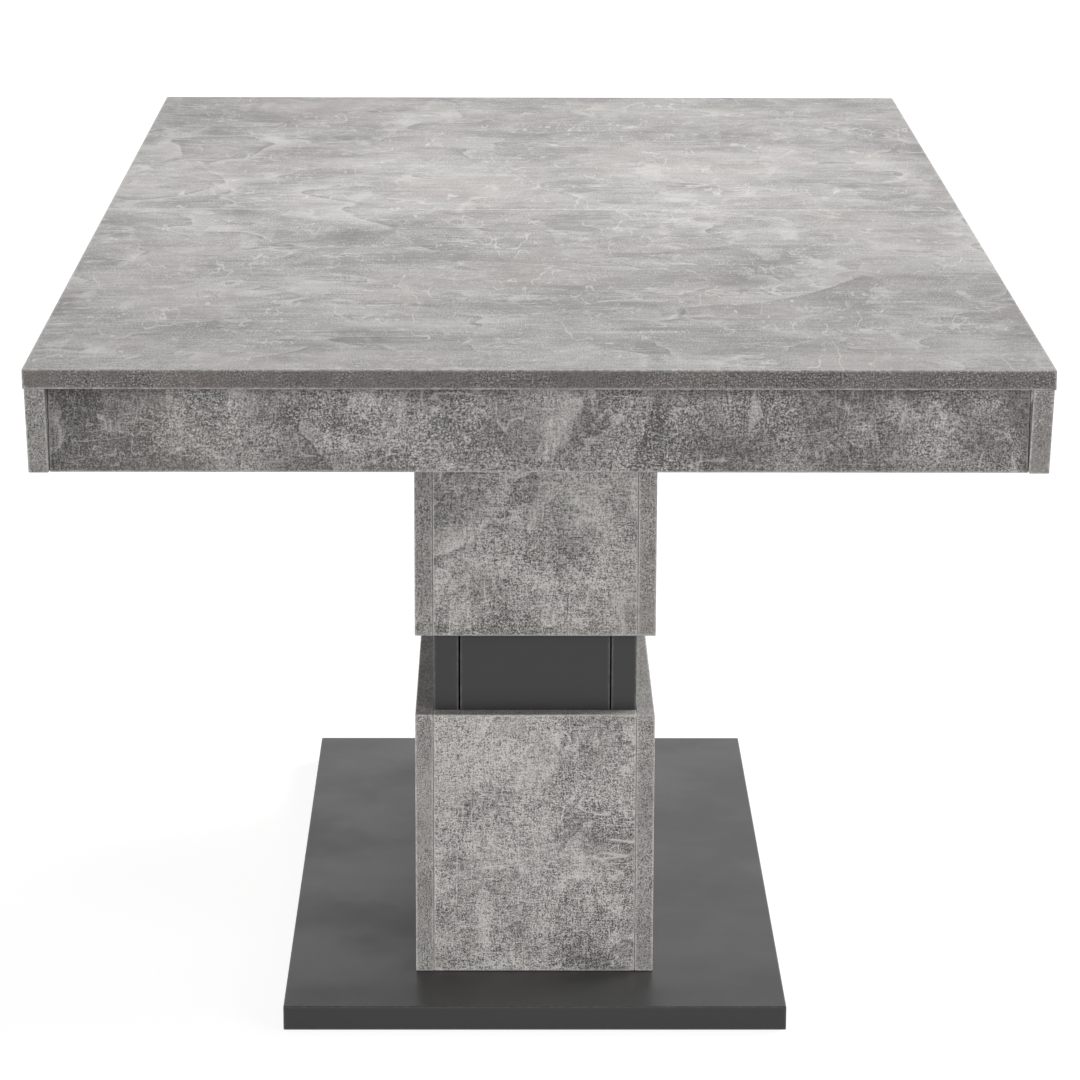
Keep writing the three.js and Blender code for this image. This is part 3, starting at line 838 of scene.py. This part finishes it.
@dataclass(frozen=True)
class PlanedBeech(Finish):
    """Planed beech: slow bands along the grain, and the short dark flecks that beech shows."""

    base: Colour = (0.56, 0.36, 0.19)
    band: Colour = (0.43, 0.26, 0.125)
    fleck: Colour = (0.27, 0.15, 0.07)

    def paint(self, graph: Graph, vector: bpy.types.NodeSocket) -> dict[str, object]:
        """Stretches noise along Y for the bands and the flecks.

        Args:
            graph: the material's graph.
            vector: the place on the piece.

        Returns:
            The colour, roughness and height sockets.
        """
        drawn = graph.moved(vector, (0, 0, 0), (1, 0.06, 1))
        bands = graph.between(graph.noise(drawn, 60.0, 5.0, 0.6, 0.4), 0.35, 0.65)
        short = graph.moved(vector, (2, 1, 3), (1, 0.12, 1))
        flecks = graph.between(graph.noise(short, 620.0, 2.0), 0.6, 0.7)
        colour = graph.mix(bands, rgba(self.base), rgba(self.band))
        colour = graph.mix(graph.math("MULTIPLY", flecks, 0.55), colour, rgba(self.fleck))
        rough = graph.scaled(flecks, 0.15, self.roughness)
        return {"colour": colour, "roughness": rough, "height": flecks}


@dataclass(frozen=True)
class RawChip(Finish):
    """The raw chipboard core that shows in a drilled hole."""

    base: Colour = (0.42, 0.3, 0.18)
    chip: Colour = (0.2, 0.125, 0.065)

    def paint(self, graph: Graph, vector: bpy.types.NodeSocket) -> dict[str, object]:
        """Colours Voronoi chips a few millimetres across.

        Args:
            graph: the material's graph.
            vector: the place on the piece.

        Returns:
            The colour, roughness and height sockets.
        """
        cells = graph.add("TexVoronoi", {"Vector": vector, "Scale": 420.0})
        share = graph.between(cells.outputs["Distance"], 0.1, 0.7)
        colour = graph.mix(share, rgba(self.base), rgba(self.chip))
        rough = graph.scaled(share, 0.1, self.roughness)
        return {"colour": colour, "roughness": rough, "height": cells.outputs["Distance"]}


# ---- dressing


class Slot(Enum):
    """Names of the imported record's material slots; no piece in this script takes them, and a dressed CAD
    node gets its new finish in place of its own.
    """

    CONCRETE = "concrete_board"
    GRAPHITE = "graphite_board"
    NYLON = "nylon"


def settle(piece: bpy.types.Object, body: str) -> None:
    """Puts a new piece on its body.

    Args:
        piece: the finished piece.
        body: the CAD body that it moves with.
    """
    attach(piece, body)
    log.info("%s rides on %s, %d faces", piece.name, body, len(piece.data.polygons))


def dress(node: str, material: bpy.types.Material, edge: float = 0.0) -> None:
    """Gives a CAD node its finish and, where edge isn't 0, rounded edges.

    Args:
        node: the CAD node.
        material: its finish.
        edge: the width of its rounded edges.
    """
    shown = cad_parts[node]
    shown.data.materials.clear()
    shown.data.materials.append(material)
    if edge > 0:
        weld = shown.modifiers.new("weld", "WELD")
        weld.merge_threshold = WELD
        bevel = shown.modifiers.new("edges", "BEVEL")
        bevel.width, bevel.segments, bevel.limit_method = edge, BEVEL_STEPS, "ANGLE"
        bevel.angle_limit, bevel.harden_normals = BEVEL_ANGLE, True
    log.info("%s keeps its shape and is finished as %s", node, material.name)


@dataclass
class SheetCutter:
    """Hands out places on the printed sheets, so that no two boards show the same stretch."""

    seed: int = 7
    reach: float = 40.0

    def __post_init__(self) -> None:
        """Seeds the draws."""
        self.draws = np.random.default_rng(self.seed)

    def next(self) -> Place:
        """Draws the next place."""
        return tuple(float(value) for value in self.draws.uniform(0, self.reach, 3))


# ---- sub-assemblies


@dataclass
class Stock:
    """The finishes that the sub-assemblies are cut from."""

    decor: CementPrint = CementPrint(lift=-0.17)
    # A darker copy of the print for the end panel and the aprons: painted shade, standing for the shade they
    # sit in under the top.
    frame_decor_painted_shade: CementPrint = CementPrint(
        lift=-0.32, clouds=0.5, grain=1.8, flecks=0.6, flake=0.15, marks=0.35, scratches=0.4)
    top_decor: CementPrint = CementPrint(
        pale=(0.43, 0.418, 0.405), dark=(0.06, 0.058, 0.055), fleck=(0.6, 0.59, 0.57), clouds=0.72,
        lift=-0.12, grain=2.4, flecks=0.5, streaks=1.0, scratches=0.5, marks=0.7, wear_and_highlight=0.7)
    slab_band: EdgeBand = EdgeBand(
        pale=(0.25, 0.238, 0.226), dark=(0.02, 0.018, 0.016), fleck=(0.5, 0.48, 0.46))
    frame_band: EdgeBand = EdgeBand(
        pale=(0.45, 0.434, 0.414), dark=(0.04, 0.037, 0.035), fleck=(0.7, 0.69, 0.66))
    board_band: EdgeBand = EdgeBand(
        pale=(0.62, 0.597, 0.572), dark=(0.055, 0.051, 0.048), fleck=(0.74, 0.73, 0.7))
    graphite: PressedSkin = PressedSkin(roughness=0.42, wear_and_highlight=0.3)
    graphite_edge: PressedSkin = PressedSkin(
        base=(0.025, 0.025, 0.025), bloom=(0.031, 0.031, 0.031), roughness=0.45, wear_and_highlight=0.3)
    core: PressedSkin = PressedSkin(roughness=0.45, wear_and_highlight=0.9)
    carcass: PressedSkin = PressedSkin(
        base=(0.55, 0.54, 0.51), bloom=(0.6, 0.59, 0.56), rubbed_and_highlight=(0.7, 0.69, 0.66))
    nylon: PressedSkin = PressedSkin(
        base=(0.014, 0.014, 0.015), bloom=(0.022, 0.022, 0.024), grain=1500.0)
    steel: MetalSkin = MetalSkin(roughness=0.38, metallic=1.0)
    zinc: MetalSkin = MetalSkin(
        base=(0.62, 0.64, 0.66), dull=(0.42, 0.43, 0.43), roughness=0.28, metallic=1.0)
    beech: PlanedBeech = PlanedBeech(roughness=0.6)
    chip: RawChip = RawChip(roughness=0.85)
    cutter: SheetCutter = field(default_factory=SheetCutter)

    def clad(self, board: Board, decor: CementPrint, band: EdgeBand, body: str) -> None:
        """Builds a board whose face and band are cut from new places on the sheets.

        Args:
            board: the board.
            decor: the print on its faces.
            band: the band on its edges.
            body: the CAD body that it moves with.
        """
        face = decor.material(f"{board.node}_print", board.thin, self.cutter.next())
        edge = band.material(f"{board.node}_band", board.thin, self.cutter.next())
        settle(board.build([face, edge]), body)


@dataclass
class BasePlate:
    """The graphite base plate and its four gliders."""

    stock: Stock
    body: str = "pedestal"
    arris: float = 0.0012

    def build(self) -> None:
        """Makes the plate and the gliders, and finishes the bolts in the base plate and the head plate."""
        skin = self.stock.graphite.material("base_plate_skin", Axis.Z)
        edge = self.stock.graphite_edge.material("base_plate_edge", Axis.Y)
        plate = Board("base_plate", Axis.Z, arris=self.arris).build([skin, edge])
        settle(plate, self.body)
        nylon = self.stock.nylon.material("glider_nylon")
        zinc = self.stock.zinc.material("bolt_zinc")
        for end in ("front", "rear"):
            for side in ("left", "right"):
                settle(Disc(f"glider_{end}_{side}").build(nylon), self.body)
                dress(f"base_bolt_{end}_{side}", zinc)
                dress(f"head_bolt_{end}_{side}", zinc)


@dataclass
class Column:
    """The two concrete-look blocks and the graphite core that stands inside them."""

    stock: Stock
    body: str = "pedestal"

    def build(self) -> None:
        """Makes the boards of both blocks and of the core."""
        for level in ("lower", "upper"):
            for part, thin in (("left", Axis.X), ("right", Axis.X), ("front", Axis.Y), ("rear", Axis.Y)):
                board = Board(f"{level}_block_{part}", thin)
                self.stock.clad(board, self.stock.decor, self.stock.board_band, self.body)
        for node, thin in (("core_wall_left", Axis.X), ("core_wall_right", Axis.X),
                           ("core_panel_front", Axis.Y), ("core_panel_rear", Axis.Y)):
            skin = self.stock.core.material(f"{node}_skin", thin)
            settle(Board(node, thin).build([skin, skin]), self.body)


@dataclass
class TopHalf:
    """One sliding half of the top: slab, aprons, end panel and what is screwed under it. Both slabs are
    cut from the same place on the printed sheet, which is a free choice."""

    stock: Stock
    end: str
    print_place: Place = (17.2, 23.6, 16.8)
    rake: float = 0.019
    pin_spacing: float = 0.3
    socket_radius: float = 0.0043
    socket_depth: float = 0.013
    wood_edge: float = 0.0008
    rack_edge: float = 0.0003
    pin_edge: float = 0.0006

    def build(self) -> None:
        """Makes the boards and finishes the runners, corner blocks, rack and pins."""
        body = f"top_{self.end}"
        outer, inner = (End.LOW, End.HIGH) if self.end == "front" else (End.HIGH, End.LOW)
        slab_face = self.stock.top_decor.material(f"{body}_print", Axis.Z, self.print_place)
        slab_band = self.stock.slab_band.material(f"{body}_band", Axis.Y)
        raw = self.stock.chip.material(f"{body}_core")
        sockets = tuple(Drilling(place * self.pin_spacing, self.socket_radius, self.socket_depth)
                        for place in (-1, 0, 1))
        slab = Board(f"top_slab_{self.end}", Axis.Z, drilled=inner, drillings=sockets)
        settle(slab.build([slab_face, slab_band, raw]), body)
        panel = Board(f"end_panel_{self.end}", Axis.Y)
        self.stock.clad(panel, self.stock.frame_decor_painted_shade, self.stock.frame_band, body)
        beech = self.stock.beech.material(f"{body}_beech")
        for side in ("left", "right"):
            apron = Board(f"apron_{self.end}_{side}", Axis.X, rake=self.rake, raked=outer)
            self.stock.clad(apron, self.stock.frame_decor_painted_shade, self.stock.frame_band, body)
            dress(f"runner_{self.end}_{side}", beech, self.wood_edge)
            dress(f"corner_block_{self.end}_{side}", beech, self.wood_edge)
        dress(f"rack_{self.end}", self.stock.steel.material(f"{body}_rack_steel"), self.rack_edge)
        if self.end == "front":
            for place in ("left", "middle", "right"):
                dress(f"seam_pin_{place}", beech, self.pin_edge)


@dataclass
class Mechanism:
    """What stays on the column: head plate, guide rails, pinion and the folded centre leaf."""

    stock: Stock
    body: str = "pedestal"
    wood_edge: float = 0.0008
    rail_edge: float = 0.0005
    pinion_edge: float = 0.0002

    def build(self) -> None:
        """Finishes the fittings, and makes the two panels of the leaf."""
        steel = self.stock.steel.material("rail_steel")
        zinc = self.stock.zinc.material("fitting_zinc")
        beech = self.stock.beech.material("support_beech")
        dress("head_plate", self.stock.carcass.material("head_plate_skin"), self.wood_edge)
        for side in ("left", "right"):
            dress(f"guide_rail_{side}", steel, self.rail_edge)
            dress(f"leaf_support_{side}", beech, self.wood_edge)
        for level in ("lower", "upper"):
            panel = Board(f"leaf_panel_{level}", Axis.Z)
            self.stock.clad(panel, self.stock.top_decor, self.stock.board_band, self.body)
            for end in ("front", "rear"):
                dress(f"leaf_hinge_{level}_{end}", zinc)
        dress("pinion", self.stock.nylon.material("pinion_nylon"), self.pinion_edge)
        dress("pinion_pin", zinc)


# ---- studio


def seen_or_mirrored(graph: Graph) -> bpy.types.NodeSocket:
    """Gives 1 to rays that the camera sees straight or in a reflection, and 0 to the rest."""
    path = graph.add("LightPath").outputs
    return graph.math("MAXIMUM", path["Is Camera Ray"], path["Is Glossy Ray"])


@dataclass(frozen=True)
class SoftSun:
    """A broad distant light: its direction is where it comes from, and its spread softens its shadows."""

    name: str
    direction: Place
    strength: float
    spread: float
    gloss: bool = True

    def build(self) -> None:
        """Hangs the light out along its direction and turns it to shine back at the table. Without gloss it
        shows in no reflection, as a light behind a diffusing screen."""
        data = bpy.data.lights.new(self.name, "SUN")
        data.energy, data.angle = self.strength, math.radians(self.spread)
        lamp = in_scene(self.name, data)
        lamp.location = self.direction
        lamp.rotation_euler = Vector(self.direction).to_track_quat("Z", "Y").to_euler()
        lamp.visible_glossy = self.gloss


@dataclass(frozen=True)
class SoftBox:
    """A rectangular studio light that faces straight down."""

    name: str
    place: Place
    width: float
    length: float
    power: float

    def build(self) -> None:
        """Hangs the light above the table."""
        data = bpy.data.lights.new(self.name, "AREA")
        data.shape, data.size, data.size_y, data.energy = "RECTANGLE", self.width, self.length, self.power
        lamp = in_scene(self.name, data)
        lamp.location = self.place


@dataclass(frozen=True)
class Studio:
    """A white room: pale floor, white surroundings, the soft lights and the camera."""

    camera_place: Place = (-0.0295, -4.3390, 1.5133)
    yaw: float = 0.0085
    pitch: float = 0.2533
    roll: float = -0.0031
    lens: float = 138.85
    sensor: float = 36.0
    near: float = 0.05
    far: float = 100.0
    floor_side: float = 60.0
    floor_tone: float = 0.28
    floor_mottle: float = 0.01
    floor_glow: float = 0.9
    ambient: float = 0.21
    backdrop: float = 1.05
    lights: tuple[SoftSun | SoftBox, ...] = (
        SoftSun("side", (1.5, 0.75, 0.95), 2.95, 35.0),
        SoftSun("left_fill", (-1.6, -0.65, 0.12), 2.15, 16.0, gloss=False),
        SoftSun("right_fill", (1.3, -1.2, 0.45), 1.1, 20.0, gloss=False),
        SoftBox("overhead", (0.1, 0.26, 1.6), 0.8, 0.4, 6.0),
    )

    def floor(self) -> None:
        """Lays the floor: a grid of points on a square, with a faintly mottled pale paint that looks a
        little brighter than it lights the table."""
        line = np.linspace(-self.floor_side / 2, self.floor_side / 2, FLOOR_LINES)
        x, y = np.meshgrid(line, line, indexing="ij")
        points = np.stack([x, y, np.zeros_like(x)], -1).reshape(-1, 3)
        mesh = bpy.data.meshes.new("studio_floor")
        mesh.from_pydata(points, [], grid_quads(FLOOR_LINES, FLOOR_LINES, False).tolist())
        floor = in_scene("studio_floor", mesh)
        paint = bpy.data.materials.new("studio_paint")
        graph = Graph.opened(paint)
        vector = graph.add("TexCoord").outputs["Object"]
        share = graph.between(graph.noise(vector, 1.2, 3.0), 0.3, 0.7)
        low, high = (self.floor_tone - self.floor_mottle,) * 3, (self.floor_tone + self.floor_mottle,) * 3
        colour = graph.mix(share, rgba(low), rgba(high))
        glow = graph.math("MULTIPLY", seen_or_mirrored(graph), self.floor_glow)
        shader = graph.add("BsdfPrincipled", {"Base Color": colour, "Roughness": 0.9,
                                              "Specular IOR Level": 0.0, "Emission Color": (1, 1, 1, 1),
                                              "Emission Strength": glow})
        graph.add("OutputMaterial", {"Surface": shader.outputs[0]})
        mesh.materials.append(paint)

    def surroundings(self) -> None:
        """Lights the room evenly, and shows it white behind the table."""
        world = bpy.data.worlds.new("studio")
        bpy.context.scene.world = world
        graph = Graph.opened(world)
        strength = graph.scaled(seen_or_mirrored(graph), self.backdrop - self.ambient, self.ambient)
        background = graph.add("Background", {"Color": (1, 1, 1, 1), "Strength": strength})
        graph.add("OutputWorld", {"Surface": background.outputs[0]})

    def camera(self) -> None:
        """Stands the camera: it looks along Y, turned by the yaw, tipped down by the pitch and rolled."""
        sin, cos = math.sin, math.cos
        forward = Vector((sin(self.yaw) * cos(self.pitch), cos(self.yaw) * cos(self.pitch), -sin(self.pitch)))
        right = Vector((cos(self.yaw), -sin(self.yaw), 0))
        down = forward.cross(right)
        right, down = (cos(self.roll) * right + sin(self.roll) * down,
                       cos(self.roll) * down - sin(self.roll) * right)
        data = bpy.data.cameras.new("camera")
        data.lens, data.sensor_width = self.lens, self.sensor
        data.clip_start, data.clip_end = self.near, self.far
        camera = in_scene("camera", data)
        turn = Matrix((right, -down, -forward)).transposed().to_4x4()
        camera.matrix_world = Matrix.Translation(self.camera_place) @ turn
        bpy.context.scene.camera = camera

    def build(self) -> None:
        """Sets up the whole studio."""
        self.floor()
        self.surroundings()
        for light in self.lights:
            light.build()
        self.camera()
        bpy.context.scene.view_settings.view_transform = "Standard"


def main() -> None:
    """Builds the studio and each sub-assembly."""
    logging.basicConfig(level=logging.INFO, format="%(name)s: %(message)s")
    Studio().build()
    stock = Stock()
    BasePlate(stock).build()
    Column(stock).build()
    for end in ("front", "rear"):
        TopHalf(stock, end).build()
    Mechanism(stock).build()


if __name__ == "__main__":
    main()
